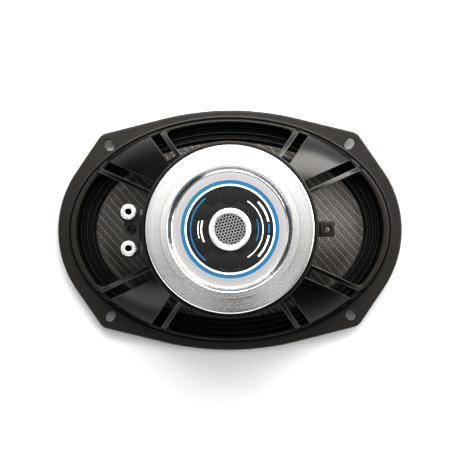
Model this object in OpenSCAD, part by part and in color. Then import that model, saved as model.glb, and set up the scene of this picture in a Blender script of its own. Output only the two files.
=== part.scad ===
// Oval 6 x 9 inch car speaker driver, lying on its front with the motor up.
// Millimetres. +Z runs out of the back of the speaker, +X along its length.
// The origin is the middle of the front gasket's face.

/* [Flange] */
// Length of the mounting flange
flange_l = 236; // [233:0.5:239]
// Width of the mounting flange
flange_w = 164.4; // [163:0.2:166]
// Thickness of the mounting flange
flange_t = 5; // [4:0.5:6]
// Radius of the two round ends
end_r = 71.5; // [70:0.5:73]
// Radius of the two long, flat curves
side_r = 194; // [190:1:198]
// Direction that an ear's end edge faces, in degrees from the length
end_turn = 34.3; // [33:0.1:36]
// Direction that an ear's long edge faces, in degrees from the length
side_turn = 76; // [75:0.5:77]
// Radius of the ear corners
ear_r = 8; // [5:1:10]
// Length of the oval cone opening
open_l = 209.6; // [208:0.2:211]
// Width of the oval cone opening
open_w = 147.4; // [146:0.2:148]

/* [Screw slots] */
// Spacing of the screw slots along the length
slot_dx = 165; // [163:0.5:167]
// Spacing of the screw slots across the width
slot_dy = 117.5; // [116:0.5:119]
// Width of a screw slot
slot_w = 6.2; // [5:0.2:6.6]
// How much longer than wide a screw slot is
slot_extra = 2; // [1:0.2:2.4]
// Direction of a slot, in degrees from the length
slot_turn = 50; // [45:1:55]

/* [Basket] */
// Length of the raised oval wall behind the flange
wall_l = 217.8; // [217:0.2:219]
// Width of the raised oval wall
wall_w = 150.8; // [150.4:0.2:152]
// Height of the raised wall over the flange
wall_h = 5.5; // [4:0.5:7]
// Radius of the round hub that carries the motor
hub_r = 58.7; // [58:0.1:59.5]
// Height of the hub's motor seat over the front face
hub_z = 50; // [49:0.5:52]
// Thickness of the hub's seat
hub_t = 4; // [3.5:0.5:4]
// Direction of the ribs beside the end windows, in degrees from the length
end_rib = 25; // [24:0.5:26]
// Direction of the ribs beside the long windows, in degrees from the length
side_rib = 55.5; // [54.5:0.5:56.5]
// Width of a rib
rib_w = 3.4; // [3:0.1:3.8]
// Depth of a rib where it meets the hub
rib_depth = 5; // [4:0.5:6]
// How far a rib stands over the panels
rib_rise = 0.6; // [0.4:0.1:0.8]
// Width of the slot between a rib and its panel
gap_w = 6.2; // [5.6:0.2:6.8]
// Thickness of an arm's panel
panel_t = 2.6; // [2.2:0.2:3]
// How far the small web at the hub end of a slot stands out of the hub
web_l = 2.4; // [1.6:0.2:3.2]

/* [Cone and suspension] */
// Thickness of the front gasket
gasket_t = 2.4; // [2:0.2:3]
// Thickness of the surround's cloth
cloth_t = 0.6; // [0.5:0.1:0.7]
// Number of rolls in the surround
rolls = 3; // [3:1:3]
// Half the height of a roll
roll_h = 1.5; // [1.2:0.1:1.7]
// Width of the rolled part of the surround
roll_w = 12; // [11.6:0.1:12.2]
// Thickness of the cone
cone_t = 0.9; // [0.8:0.1:1]
// Height of the cone's neck over the front face
neck_z = 36; // [35.5:0.5:36.5]
// Height of the dust cap's dome
cap_h = 9; // [7:1:11]

/* [Motor] */
// Inside radius of the voice coil former
coil_r = 25.3; // [25.2:0.1:25.4]
// Height of the coil winding
coil_h = 12; // [11:0.5:12]
// Thickness of the steel top plate
top_plate_t = 6; // [6:0.5:7]
// Thickness of the magnet ring
magnet_t = 11; // [11:0.5:12]
// Thickness of the steel back plate
back_plate_t = 6; // [5:0.5:7]
// Outside radius of the aluminium motor cup
cup_r = 54.6; // [54:0.1:55]
// Thickness of the cup's floor
cup_floor_t = 4; // [3.5:0.5:5]
// Depth of the dish in the cup's back
dish_h = 4; // [3:0.5:4]
// Outside radius of the printed label
label_r = 31.8; // [31:0.1:32.5]
// Radius of the vent through the pole
vent_r = 12.45; // [12:0.05:12.5]
// Spacing of the holes in the vent mesh
mesh_pitch = 2.1; // [2:0.05:2.3]
// Radius of a hole in the vent mesh
mesh_hole_r = 0.72; // [0.5:0.01:0.8]

/* [Terminals] */
// Distance of the two terminals from the middle
term_x = 66.6; // [66.4:0.1:67]
// Half the distance between the two terminals
term_y = 12; // [12:0.1:12.4]
// Radius of a terminal's push knob
knob_r = 5.1; // [4.9:0.05:5.15]
// Travel of a push knob
knob_travel = 3; // [2.5:0.1:3]
// Radius of the banana plug bore
plug_r = 2; // [1.95:0.05:2.05]

/* [Hidden] */
$fn = 96;
eps = 0.02;
glue = 0.05; // gap left for adhesive between a moving and a fixed piece

// Heights of the stack, from the front gasket's face
z_flange = gasket_t + cloth_t;
z_rear = z_flange + flange_t;
z_wall = z_rear + wall_h;
z_magnet = hub_z + top_plate_t;
z_back_plate = z_magnet + magnet_t;
z_cup_floor = z_back_plate + back_plate_t;
z_dish = z_cup_floor + cup_floor_t;
z_rim = z_dish + dish_h;
label_t = 0.45;
z_label = z_dish + label_t;

// Cone and surround
oval_n = 64;        // steps round an oval skin
lip_w = 5.8;        // width of the surround's outer lip, under the flange
inner_lip_w = 3.2;  // width of the surround's inner lip, under the cone's rim
rim_w = 3.5;        // width of the cone's flat rim
roll_start = 0.5;   // how far inside the opening the rolls begin
rim_inset = roll_start + roll_w + 0.7;
neck_r = coil_r + 0.45;
bend_r = 38;        // radius and height of the curve's control point
bend_z = 24;
rim_z = z_flange + 2 * glue + cone_t;
cap_share = 0.2;    // how far down the cone the dust cap sits
spider_z = 39.2;
spider_waves = 6;
former_t = 0.4;
former_z = neck_z - 1.5;
coil_t = 1;
coil_z = 47;
lead_turn = 169.2;  // where on the cone's rear face a lead is fastened
lead_share = 0.37;

// Basket
knee_share = 0.05;  // control point of an arm's curve: how far in from the wall, and over the flange
knee_h = 19;
skirt_r = 53.5;     // step in the hub that the spider is glued to
skirt_z = 39.5;
seat_r = 36;
web_z = 43.2;
web_t = 2.2;
tab_x = 69.3;
tab_w = 10.4;
tab_z = 43;
tab_t = 4;
tab_hole_x = 65;
tab_hole_r = 1.52;

// Motor
screw_pcd_r = 42;
screw_n = 6;
screw_r = 2;
pole_r = coil_r - 0.4;
yoke_r = 47;
top_plate_r = 48;
magnet_r = [30, 43];
cup_bore_r = 48.3;
groove_z = [57, 62, 67];
groove_w = 2.2;
groove_d = 2.4;
crest_r = 40.9;     // where the cup's back turns down into its dish
collar_r = [10.3, 13.9];
mesh_r = 10.86;
mesh_t = 0.6;
mesh_z = z_label - 1.1;

// Terminals
block_x = [59.6, 70];
block_y = 16.4;
block_t = 4;
block_z = tab_z + tab_t;
socket_r = 6.3;
socket_z = 40;
socket_top = 52;
socket_lip = 1;
socket_floor = 1.5;
knob_z = 49.4;
knob_top = 60;
knob_bore_r = 3;
post_r = 2.9;
post_top = 55;
post_hole_z = 53.2;
wire_r = 1.1;
shank_r = 2;
tag_t = 0.6;
tag_l = 8.2;
nut_t = 2.4;
post_bottom = 36.2;
bore_z = 43;
lead_r = 0.6;
lead_points = [
    [-60.5, 11.6, 38.7], [-58.6, 11.3, 38.4], [-56.4, 11, 36.6], [-54.4, 10.6, 34], [-51.6, 10.1, 31.9],
    [-48.2, 9.5, 31.1], [-45, 8.8, 30.6], [-42.6, 8.2, 29.4], [-41, 7.8, 27.7]
];

black = "#232325";
steel = "#a9abad";
bright = "#d9dadb";
brass = "#c9a454";

// ---- Outlines ----

// Points of an arc about c from angle a0 to a1
function arc(c, r, a0, a1, n) = [for (i = [0:n]) let (a = a0 + (a1 - a0) * i / n) c + r * [cos(a), sin(a)]];

// Radius of an oval of half axes a and b in direction th
function oval_r(a, b, th) = a * b / sqrt(pow(b * cos(th), 2) + pow(a * sin(th), 2));

function oval(l, w) = [for (i = [0:$fn - 1]) let (th = 360 * i / $fn) [l / 2 * cos(th), w / 2 * sin(th)]];

// Where two lines meet, each given by the direction it faces and its distance from the origin
function meet(t1, d1, t2, d2) =
    [d1 * sin(t2) - d2 * sin(t1), d2 * cos(t1) - d1 * cos(t2)] / sin(t2 - t1);

// One quarter of the flange's outline: round end, ear corner, long curve
function flange_quarter() =
    let (
        end_c = [flange_l / 2 - end_r, 0],
        side_c = [0, flange_w / 2 - side_r],
        ear_c = meet(
            end_turn, end_c * [cos(end_turn), sin(end_turn)] + end_r - ear_r,
            side_turn, side_c * [cos(side_turn), sin(side_turn)] + side_r - ear_r
        )
    )
    concat(
        arc(end_c, end_r, 1, end_turn, 14),
        arc(ear_c, ear_r, end_turn, side_turn, 8),
        arc(side_c, side_r, side_turn, 89.7, 8)
    );

function reversed(v) = [for (i = [len(v) - 1:-1:0]) v[i]];

function flange_outline() =
    let (q = flange_quarter(), m = reversed([for (p = q) [-p.x, p.y]]))
    concat(q, m, [for (p = q) -p], [for (p = m) -p]);

module ring(r_out, r_in, z0, z1) {
    translate([0, 0, z0]) difference() {
        cylinder(r = r_out, h = z1 - z0);
        translate([0, 0, -1]) cylinder(r = r_in, h = z1 - z0 + 2);
    }
}

module oval_ring(l, w, l_in, w_in, z0, z1) {
    translate([0, 0, z0]) difference() {
        linear_extrude(z1 - z0) polygon(oval(l, w));
        translate([0, 0, -1]) linear_extrude(z1 - z0 + 2) polygon(oval(l_in, w_in));
    }
}

// ---- Skins ----

// Faces over n loops of m points. A closed skin joins its last loop to its first, and an open one
// is capped by strips across its end loops.
function skin_faces(n, m, closed) = concat(
    [
        for (i = [0:n - (closed ? 1 : 2)], j = [0:m - 1])
            let (k = (j + 1) % m, a = i * m, b = ((i + 1) % n) * m)
                each [[a + j, a + k, b + k], [a + j, b + k, b + j]]
    ],
    closed ? [] : [for (k = [0:m / 2 - 2]) each [[k, m - 1 - k, m - 2 - k], [k, m - 2 - k, k + 1]]],
    closed ? [] : [
        for (k = [0:m / 2 - 2]) let (a = (n - 1) * m)
            each [[a + k, a + k + 1, a + m - 2 - k], [a + k, a + m - 2 - k, a + m - 1 - k]]
    ]
);

module skin(loops, closed) {
    polyhedron([for (l = loops) each l], skin_faces(len(loops), len(loops[0]), closed));
}

// A ring whose cross-section profile(th) is a list of [radius, height] pairs
function turned_loop(profile, th) = [for (p = profile) [p.x * cos(th), p.x * sin(th), p.y]];

// Round tube of radius r along a list of points
function tube_loops(path, r, sides) = [
    for (i = [0:len(path) - 1])
        let (
            d = path[min(i + 1, len(path) - 1)] - path[max(i - 1, 0)],
            e1 = cross(d, [0, 1, 0.2]) / norm(cross(d, [0, 1, 0.2])),
            e2 = cross(e1, d) / norm(d)
        )
            [for (k = [0:sides - 1]) path[i] + r * (cos(360 * k / sides) * e1 + sin(360 * k / sides) * e2)]
];

function bezier(p0, p1, p2, t) = pow(1 - t, 2) * p0 + 2 * t * (1 - t) * p1 + t * t * p2;

// ---- Basket ----

// Direction, seen from the middle, of the point at radius r on a line that runs parallel to
// direction th and off to its left by d
function offset_turn(th, d, r) = th + asin(d / r);

// Plan radius of the wall's outer face, or of the cone opening, in direction th
function wall_r(th) = oval_r(wall_l / 2, wall_w / 2, th);
function open_r(th) = oval_r(open_l / 2, open_w / 2, th);

// Curve of an arm from the wall to the hub. depth is 0 on the outer face and 1 on the inner one,
// and drop lowers it by a thickness.
function arm_point(th0, th1, depth, drop, t) =
    let (
        r0 = depth == 0 ? wall_r(th0) - 0.3 : open_r(th0) + 0.3,
        r1 = hub_r - 1.5,
        foot = r0 * [cos(th0), sin(th0)],
        head = r1 * [cos(th1), sin(th1)],
        knee = foot + knee_share * (head - foot)
    )
    bezier(
        [foot.x, foot.y, z_wall - 1.2],
        [knee.x, knee.y, z_rear + knee_h - drop * 0.8],
        [head.x, head.y, hub_z - 2 - drop],
        t
    );

// A strip of arm between two lines parallel to directions a and b, off to their left by da and db
module arm_strip(a, da, b, db, top, bottom, cells) {
    steps = 9;
    skin([
        for (i = [0:steps])
            let (
                t = i / steps,
                a0 = offset_turn(a, da, wall_r(a)), b0 = offset_turn(b, db, wall_r(b)),
                a1 = offset_turn(a, da, hub_r), b1 = offset_turn(b, db, hub_r),
                at = function(u, depth, drop)
                    arm_point(a0 + (b0 - a0) * u, a1 + (b1 - a1) * u, depth, drop, t)
            )
                concat(
                    [for (k = [cells:-1:0]) at(k / cells, 0, top)],
                    [for (k = [0:cells]) at(k / cells, 1, bottom)]
                )
    ], false);
}

// One of the four corner arms: two ribs with a panel between them
module arm() {
    edge = rib_w / 2 + gap_w;
    for (turn = [end_rib, side_rib])
        arm_strip(turn, -rib_w / 2, turn, rib_w / 2, -rib_rise, rib_depth, 1);
    arm_strip(end_rib, edge, side_rib, -edge, 0, panel_t, 8);
    for (web = [[end_rib, rib_w / 2], [side_rib, -edge]])
        rotate(web[0]) translate([hub_r - 1, web[1] - 0.5, web_z]) cube([web_l + 1, gap_w + 1, web_t]);
}

// Puts its children on each of the motor's screws, at height z
module at_motor_screws(z) {
    for (i = [0:screw_n - 1]) rotate(360 / screw_n * (i + 0.5)) translate([screw_pcd_r, 0, z]) children();
}

module hub() {
    rotate_extrude() polygon([
        [skirt_r, skirt_z], [hub_r - 0.8, skirt_z], [hub_r, skirt_z + 0.8], [hub_r, hub_z + 1],
        [hub_r - 0.5, hub_z + 1.5], [hub_r - 1.6, hub_z + 1.5], [hub_r - 2.1, hub_z],
        [seat_r, hub_z], [seat_r, hub_z - hub_t], [skirt_r, hub_z - hub_t]
    ]);
}

module screw_slot() {
    rotate(slot_turn) for (s = [-1, 1])
        translate([s * slot_extra / 2, 0, 0]) cylinder(d = slot_w, h = flange_t + 2);
    rotate(slot_turn) translate([-slot_extra / 2, -slot_w / 2, 0]) cube([slot_extra, slot_w, flange_t + 2]);
}

module basket() {
    color(black) difference() {
        union() {
            difference() {
                translate([0, 0, z_flange]) linear_extrude(flange_t) polygon(flange_outline());
                translate([0, 0, z_flange - 1]) linear_extrude(flange_t + 2) polygon(oval(open_l, open_w));
            }
            oval_ring(wall_l, wall_w, open_l, open_w, z_rear - 1, z_wall);
            for (mx = [0, 1], my = [0, 1]) mirror([mx, 0, 0]) mirror([0, my, 0]) arm();
            hub();
            for (s = [-1, 1])
                translate([s > 0 ? hub_r - 2 : -tab_x, -tab_w / 2, tab_z])
                    cube([tab_x - hub_r + 2, tab_w, tab_t]);
            translate([hub_r + 1.3, -tab_w / 2, tab_z + tab_t - 1]) cube([1, tab_w, 2]);
        }
        for (mx = [0, 1], my = [0, 1])
            mirror([mx, 0, 0]) mirror([0, my, 0])
                translate([slot_dx / 2, slot_dy / 2, z_flange - 1]) screw_slot();
        for (s = [-1, 1]) translate([s * tab_hole_x, 0, tab_z - 1]) cylinder(r = tab_hole_r, h = tab_t + 2);
        translate([tab_hole_x, 0, tab_z + tab_t - 0.7]) cylinder(r1 = tab_hole_r, r2 = 2.4, h = 0.8);
        at_motor_screws(hub_z - hub_t - 1) cylinder(r = screw_r + 0.2, h = hub_t + 2);
    }
}

// ---- Cone, surround and spider ----

module gasket() {
    color("#1b1b1c") oval_ring(open_l + 15.4, open_w + 8.6, open_l + 1.2, open_w + 1.2, 0, gasket_t);
}

// Middle line of the surround in direction th, as [radius, height] pairs
function surround_line(th) =
    let (
        steps = 4 * rolls,
        at = function(u) oval_r(open_l / 2 - u, open_w / 2 - u, th),
        z0 = gasket_t + cloth_t / 2
    )
    concat(
        [[at(-lip_w), z0]],
        [
            for (i = [0:steps])
                [at(roll_start + roll_w * i / steps), z0 + roll_h * (1 - cos(360 * rolls * i / steps))]
        ],
        [[at(rim_inset + inner_lip_w), z0]]
    );

module surround() {
    half_t = [0, cloth_t / 2 - eps];
    color("#161617") skin([
        for (i = [0:oval_n - 1])
            let (th = 360 * i / oval_n, line = surround_line(th))
                turned_loop(concat([for (p = reversed(line)) p - half_t], [for (p = line) p + half_t]), th)
    ], true);
}

// Point on the cone's rear face, t of the way from neck to rim, as [radius, height]
function cone_point(th, t) =
    bezier(
        [neck_r, neck_z],
        [bend_r, bend_z],
        [oval_r(open_l / 2 - rim_inset, open_w / 2 - rim_inset, th) - rim_w, rim_z],
        t
    );

module cone() {
    steps = 7;
    color("#3a3836") skin([
        for (i = [0:oval_n - 1])
            let (
                th = 360 * i / oval_n,
                slope = [for (k = [0:steps]) cone_point(th, k / steps)],
                rear = concat(slope, [slope[steps] + [rim_w, 0]])
            )
                turned_loop(concat([for (p = rear) p - [0, cone_t]], reversed(rear)), th)
    ], true);
}

// Oval loop at share u from the top (0) to the edge (1) of the dust cap, sunk by a thickness
function cap_loop(u, sunk) =
    let (
        edge_x = cone_point(0, cap_share),
        edge_y = cone_point(90, cap_share),
        z = edge_y.y - cone_t - glue - (cap_h - sunk) * cos(90 * u) + sunk * 0.3
    )
    [
        for (i = [0:oval_n - 1])
            let (th = 360 * i / oval_n, r = oval_r(edge_x.x - 0.6, edge_y.x - 0.6, th) * sin(90 * u))
                [r * cos(th), r * sin(th), z]
    ];

// Oval dome glued to the front of the cone
module dust_cap() {
    steps = 9;
    color("#302f2e") skin(concat(
        [for (k = [0:steps]) cap_loop(0.02 + 0.98 * k / steps, 0.8)],
        [for (k = [steps:-1:0]) cap_loop(0.02 + 0.98 * k / steps, 0)]
    ), false);
}

module spider() {
    steps = 8 * spider_waves;
    r0 = neck_r + 1.6;
    r1 = skirt_r - 0.5;
    cloth = 0.5;
    line = [
        for (i = [0:steps])
            [r0 + (r1 - r0) * i / steps, spider_z - 1.3 * sin(360 * spider_waves * i / steps)]
    ];
    inner = coil_r + former_t + glue;
    color("#b98f4e") rotate_extrude() polygon(concat(
        [[inner, spider_z - 1.4], [inner + 0.5, spider_z - 1.4], [inner + 0.6, spider_z - cloth / 2]],
        [for (p = line) p - [0, cloth / 2]],
        [[hub_r - 1.2, skirt_z - cloth - eps], [hub_r - 1.2, skirt_z - eps], [skirt_r + 0.1, skirt_z - eps]],
        [for (p = reversed(line)) p + [0, cloth / 2]],
        [[inner + 0.5, spider_z + 1.6], [inner, spider_z + 1.6]]
    ));
}

module coil_former() {
    color("#8c5a2b") ring(coil_r + former_t, coil_r, former_z, coil_z + coil_h);
}

module voice_coil() {
    color("#b4683a") ring(coil_r + former_t + coil_t, coil_r + former_t + 0.01, coil_z, coil_z + coil_h);
}

// Puts its children on the cone's rear face, where the lead on one side is fastened
module on_cone(side) {
    p = cone_point(side * lead_turn, lead_share);
    q = cone_point(side * lead_turn, lead_share + 0.01);
    lean = atan2(p.y - q.y, q.x - p.x);
    rotate(side * lead_turn) translate([p.x, 0, p.y]) rotate([0, lean, 0]) children();
}

module lead_eyelets() {
    color(brass) for (side = [-1, 1])
        on_cone(side) {
            translate([0, 0, -cone_t - 0.4]) cylinder(r = 1, h = cone_t + 1, $fn = 32);
            cylinder(r = 1.9, h = 0.6, $fn = 32);
        }
}

// Braided lead from a solder tag to the cone
module tinsel_lead(side) {
    color("#b98a5a") skin(tube_loops([for (p = lead_points) [p.x, side * p.y, p.z]], lead_r, 8), false);
}

module tinsel_lead_pos() tinsel_lead(1);
module tinsel_lead_neg() tinsel_lead(-1);

// ---- Motor ----

module top_plate() {
    color(steel) difference() {
        ring(top_plate_r, coil_r + 2, hub_z, z_magnet);
        at_motor_screws(hub_z - 1) cylinder(r = screw_r + 0.02, h = top_plate_t + 2);
    }
}

module magnet() {
    color("#8f9296") ring(magnet_r[1], magnet_r[0], z_magnet, z_back_plate);
}

// Steel back plate and vented pole in one piece
module pole_yoke() {
    color(steel) rotate_extrude() polygon([
        [vent_r + 1.2, hub_z - 0.5], [pole_r - 0.6, hub_z - 0.5], [pole_r, hub_z + 0.1],
        [pole_r, z_back_plate], [yoke_r - 0.6, z_back_plate], [yoke_r, z_back_plate + 0.6],
        [yoke_r, z_cup_floor], [vent_r, z_cup_floor], [vent_r, hub_z + 0.7]
    ]);
}

module shorting_ring() {
    color("#c8743c") ring(magnet_r[0] - 1.5, pole_r + glue, z_back_plate - 2.6, z_back_plate);
}

module motor_screws() {
    head_h = 2.2;
    color("#3c3c3e") at_motor_screws(hub_z - hub_t) difference() {
        union() {
            translate([0, 0, -head_h]) cylinder(r = 3.4, h = head_h, $fn = 48);
            cylinder(r = screw_r - 0.02, h = hub_t + 4.5, $fn = 48);
        }
        translate([0, 0, -head_h - 1]) cylinder(r = 1.7, h = 2.2, $fn = 6);
    }
}

// Turned aluminium cup over the magnet, with a dished back and cooling grooves
module back_cup() {
    floor_r = cup_r - groove_d;
    color(bright) rotate_extrude() polygon(concat(
        [[cup_bore_r, hub_z], [cup_r - 0.6, hub_z], [cup_r, hub_z + 0.6]],
        [
            for (z = groove_z)
                each [[cup_r, z], [floor_r, z + 0.3], [floor_r, z + groove_w - 0.3], [cup_r, z + groove_w]]
        ],
        arc([cup_r - 1.2, z_rim - 2.6], 1.2, 0, 84, 6),
        arc([crest_r, z_rim - 0.9], 0.9, 84, 138, 5),
        arc([crest_r - 4.1, z_dish + 1.6], 1.6, 318, 270, 4),
        [[vent_r + 0.15, z_dish], [vent_r + 0.15, z_cup_floor], [cup_bore_r, z_cup_floor]]
    ));
}

module motor_label() {
    color("#1a1919") ring(label_r, vent_r + 0.15, z_dish, z_label);
}

module vent_collar() {
    color(bright) rotate_extrude() polygon(concat(
        [
            [collar_r[0] - 0.4, z_cup_floor - 3], [vent_r - eps, z_cup_floor - 3], [vent_r - eps, z_label],
            [collar_r[1], z_label]
        ],
        arc([collar_r[1] - 1.2, z_label + 0.7], 1.2, 0, 90, 5),
        arc([collar_r[0] + 0.9, z_label + 1], 0.9, 90, 180, 5),
        [
            [collar_r[0], mesh_z + mesh_t + eps], [mesh_r + eps, mesh_z + mesh_t + eps],
            [mesh_r + eps, mesh_z - eps], [collar_r[0] - 0.4, mesh_z - eps]
        ]
    ));
}

module vent_mesh() {
    rows = 6;
    color("#c6c7c8") translate([0, 0, mesh_z]) difference() {
        cylinder(r = mesh_r, h = mesh_t);
        rotate(13.5) for (i = [-rows:rows], j = [-rows:rows]) {
            x = mesh_pitch * (i + j / 2);
            y = mesh_pitch * j * sqrt(3) / 2;
            if (norm([x, y]) < mesh_r - mesh_hole_r)
                translate([x, y, -1]) cylinder(r = mesh_hole_r, h = 3, $fn = 16);
        }
    }
}

// ---- Terminals ----

// Puts its children on the terminal on one side
module at_terminal(side) {
    translate([-term_x, side * term_y, 0]) children();
}

module terminal_block() {
    color("#262524") difference() {
        union() {
            translate([-block_x[1], -term_y, block_z])
                cube([block_x[1] - block_x[0], 2 * term_y, block_t]);
            translate([-term_x, -block_y, block_z]) cube([term_x - block_x[0], 2 * block_y, block_t]);
            for (side = [-1, 1])
                at_terminal(side)
                    translate([0, 0, socket_z]) cylinder(r = socket_r, h = socket_top - socket_z);
        }
        for (side = [-1, 1]) at_terminal(side) {
            translate([0, 0, socket_z - 1]) cylinder(r = shank_r + 0.05, h = 4);
            translate([0, 0, socket_z + socket_floor])
                cylinder(r = knob_r + 0.55, h = socket_top - socket_lip - socket_z - socket_floor);
            translate([0, 0, socket_top - socket_lip - eps])
                cylinder(r = knob_r + 0.15, h = socket_lip + 1);
        }
        translate([-tab_hole_x, 0, block_z - 1]) cylinder(r = 1.7, h = block_t + 2);
        translate([-tab_hole_x, 0, block_z + block_t - 1]) cylinder(r = 3.2, h = 2);
    }
}

module terminal_screw() {
    head_z = block_z + block_t - 1;
    color("#1f1f20") translate([-tab_hole_x, 0, 0]) difference() {
        union() {
            translate([0, 0, tab_z + 0.4]) cylinder(r = tab_hole_r - 0.04, h = head_z - tab_z);
            translate([0, 0, head_z]) cylinder(r = 2.8, h = 1);
            translate([0, 0, head_z + 1]) cylinder(r1 = 2.8, r2 = 1.9, h = 0.7);
        }
        for (a = [45, 135]) rotate(a) translate([-1.5, -0.4, head_z + 0.5]) cube([3, 0.8, 2]);
    }
}

// Fixed brass post with the banana plug's bore and a cross hole for bare wire
module terminal_post(side) {
    floor_z = socket_z + socket_floor;
    color(brass) at_terminal(side) difference() {
        union() {
            translate([0, 0, post_bottom]) cylinder(r = shank_r, h = floor_z - post_bottom + 0.5);
            translate([0, 0, floor_z]) cylinder(r = 3.4, h = 1.2);
            translate([0, 0, floor_z + 1]) cylinder(r = post_r, h = post_top - floor_z - 1);
        }
        translate([0, 0, bore_z]) cylinder(r = plug_r, h = post_top - bore_z + 1);
        translate([-5, 0, post_hole_z]) rotate([0, 90, 0]) cylinder(r = wire_r, h = 10);
    }
}

module terminal_post_pos() terminal_post(1);
module terminal_post_neg() terminal_post(-1);

// Plated knob that slides down over its post
module terminal_knob(side) {
    color(bright) at_terminal(side) difference() {
        rotate_extrude() polygon([
            [knob_bore_r, knob_z], [knob_r + 0.4, knob_z], [knob_r + 0.4, knob_z + 1.5],
            [knob_r, knob_z + 1.5], [knob_r, knob_top - 0.6], [knob_r - 0.6, knob_top], [plug_r + 0.4, knob_top],
            [plug_r + 0.1, knob_top - 0.3], [plug_r + 0.1, knob_top - 1.5], [knob_bore_r, knob_top - 1.5]
        ]);
        translate([-8, 0, post_hole_z + knob_travel]) rotate([0, 90, 0]) cylinder(r = wire_r, h = 16);
    }
}

module terminal_knob_pos() terminal_knob(1);
module terminal_knob_neg() terminal_knob(-1);

module terminal_spring(side) {
    turns = 5;
    steps = 12 * turns;
    wire = 0.3;
    r = 4.35;
    low = socket_z + socket_floor + wire + glue;
    high = knob_z - wire - glue;
    color(steel) at_terminal(side) skin(tube_loops([
        for (i = [0:steps])
            let (a = 360 * turns * i / steps) [r * cos(a), r * sin(a), low + (high - low) * i / steps]
    ], wire, 6), false);
}

module terminal_spring_pos() terminal_spring(1);
module terminal_spring_neg() terminal_spring(-1);

// Flat tag clamped under the socket, with its tip towards the hub
module solder_tag(side) {
    color(brass) at_terminal(side) translate([0, 0, socket_z - tag_t]) difference() {
        union() {
            cylinder(r = 3.4, h = tag_t);
            translate([0, -1.7, 0]) cube([tag_l, 3.4, tag_t]);
        }
        translate([0, 0, -1]) cylinder(r = shank_r + 0.1, h = 3);
    }
}

module solder_tag_pos() solder_tag(1);
module solder_tag_neg() solder_tag(-1);

module post_nut(side) {
    color(brass) at_terminal(side) translate([0, 0, socket_z - tag_t - nut_t]) difference() {
        cylinder(r = 3.7, h = nut_t, $fn = 6);
        translate([0, 0, -1]) cylinder(r = shank_r + 0.02, h = nut_t + 2);
    }
}

module post_nut_pos() post_nut(1);
module post_nut_neg() post_nut(-1);

basket();
gasket();
surround();
cone();
dust_cap();
spider();
coil_former();
voice_coil();
lead_eyelets();
tinsel_lead_pos();
tinsel_lead_neg();
top_plate();
magnet();
pole_yoke();
shorting_ring();
motor_screws();
back_cup();
motor_label();
vent_collar();
vent_mesh();
terminal_block();
terminal_screw();
terminal_post_pos();
terminal_post_neg();
terminal_knob_pos();
terminal_knob_neg();
terminal_spring_pos();
terminal_spring_neg();
solder_tag_pos();
solder_tag_neg();
post_nut_pos();
post_nut_neg();
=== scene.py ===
import math

import bmesh
import bpy
from mathutils import Matrix, Vector


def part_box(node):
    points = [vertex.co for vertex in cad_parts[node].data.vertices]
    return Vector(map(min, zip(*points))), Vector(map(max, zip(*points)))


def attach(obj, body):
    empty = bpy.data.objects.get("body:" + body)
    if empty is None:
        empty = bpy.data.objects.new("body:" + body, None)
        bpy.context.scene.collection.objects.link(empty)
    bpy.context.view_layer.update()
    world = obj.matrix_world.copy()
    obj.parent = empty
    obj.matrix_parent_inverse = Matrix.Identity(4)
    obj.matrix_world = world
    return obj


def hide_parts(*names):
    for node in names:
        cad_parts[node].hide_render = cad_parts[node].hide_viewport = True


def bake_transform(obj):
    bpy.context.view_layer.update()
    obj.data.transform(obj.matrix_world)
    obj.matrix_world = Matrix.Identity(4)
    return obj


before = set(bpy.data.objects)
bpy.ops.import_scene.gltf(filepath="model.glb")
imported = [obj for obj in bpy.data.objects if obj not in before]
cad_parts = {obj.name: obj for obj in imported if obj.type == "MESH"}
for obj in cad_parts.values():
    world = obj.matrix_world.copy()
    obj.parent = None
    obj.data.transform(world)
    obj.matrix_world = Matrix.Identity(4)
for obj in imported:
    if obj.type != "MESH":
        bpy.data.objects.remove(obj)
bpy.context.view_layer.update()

# Oval 6 x 9 inch car speaker driver, lying on its front with the motor up. Shapes are worked out in
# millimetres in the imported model's frame and turned to metres as each mesh is made.
MM = 0.001


def cad_size(node):
    """(lowest, highest) corner of a CAD node in millimetres."""
    lo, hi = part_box(node)
    return lo / MM, hi / MM


# ---- Sizes ----

basket_lo, basket_hi = cad_size("basket")
gasket_lo, gasket_hi = cad_size("gasket")
cup_lo = cad_size("back_cup")[0]
label_hi = cad_size("motor_label")[1]

FLANGE_L, FLANGE_W = basket_hi.x - basket_lo.x, basket_hi.y - basket_lo.y
FLANGE_T, WALL_H = 5.0, 5.5
FLANGE_Z = basket_lo.z
REAR_Z = FLANGE_Z + FLANGE_T
WALL_Z = REAR_Z + WALL_H
HUB_R, HUB_Z = 58.7, cup_lo.z
SKIRT_R, SKIRT_Z = 53.5, 39.5
OPEN_A, OPEN_B = 104.8, 73.7      # half axes of the oval cone opening
WALL_A, WALL_B = 108.9, 75.4      # of the wall's outer face
RIM_A, RIM_B = 109.8, 76.7        # of the flange's inner edge, across a narrow groove from the wall
END_RIB, SIDE_RIB = 25.0, 55.5    # directions of the ribs, in degrees from the length
RIB_W, SLOT_W = 3.4, 6.2
PANEL_T, RIB_DEPTH, RIB_RISE = 2.6, 5.0, 0.6
FOOT_DROP, HEAD_DROP, HEAD_SUNK = 1.2, 2.0, 1.5
KNEE_SHARE, KNEE_H, KNEE_DROP = 0.05, 19.0, 0.8   # what an arm's curve is pulled towards
WEB_L, WEB_Z, WEB_T = 2.4, 43.2, 2.2
TAB_REACH, TAB_W, TAB_Z, TAB_T, TAB_HOLE_X = 69.3, 10.4, 43.0, 4.0, 65.0

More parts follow.
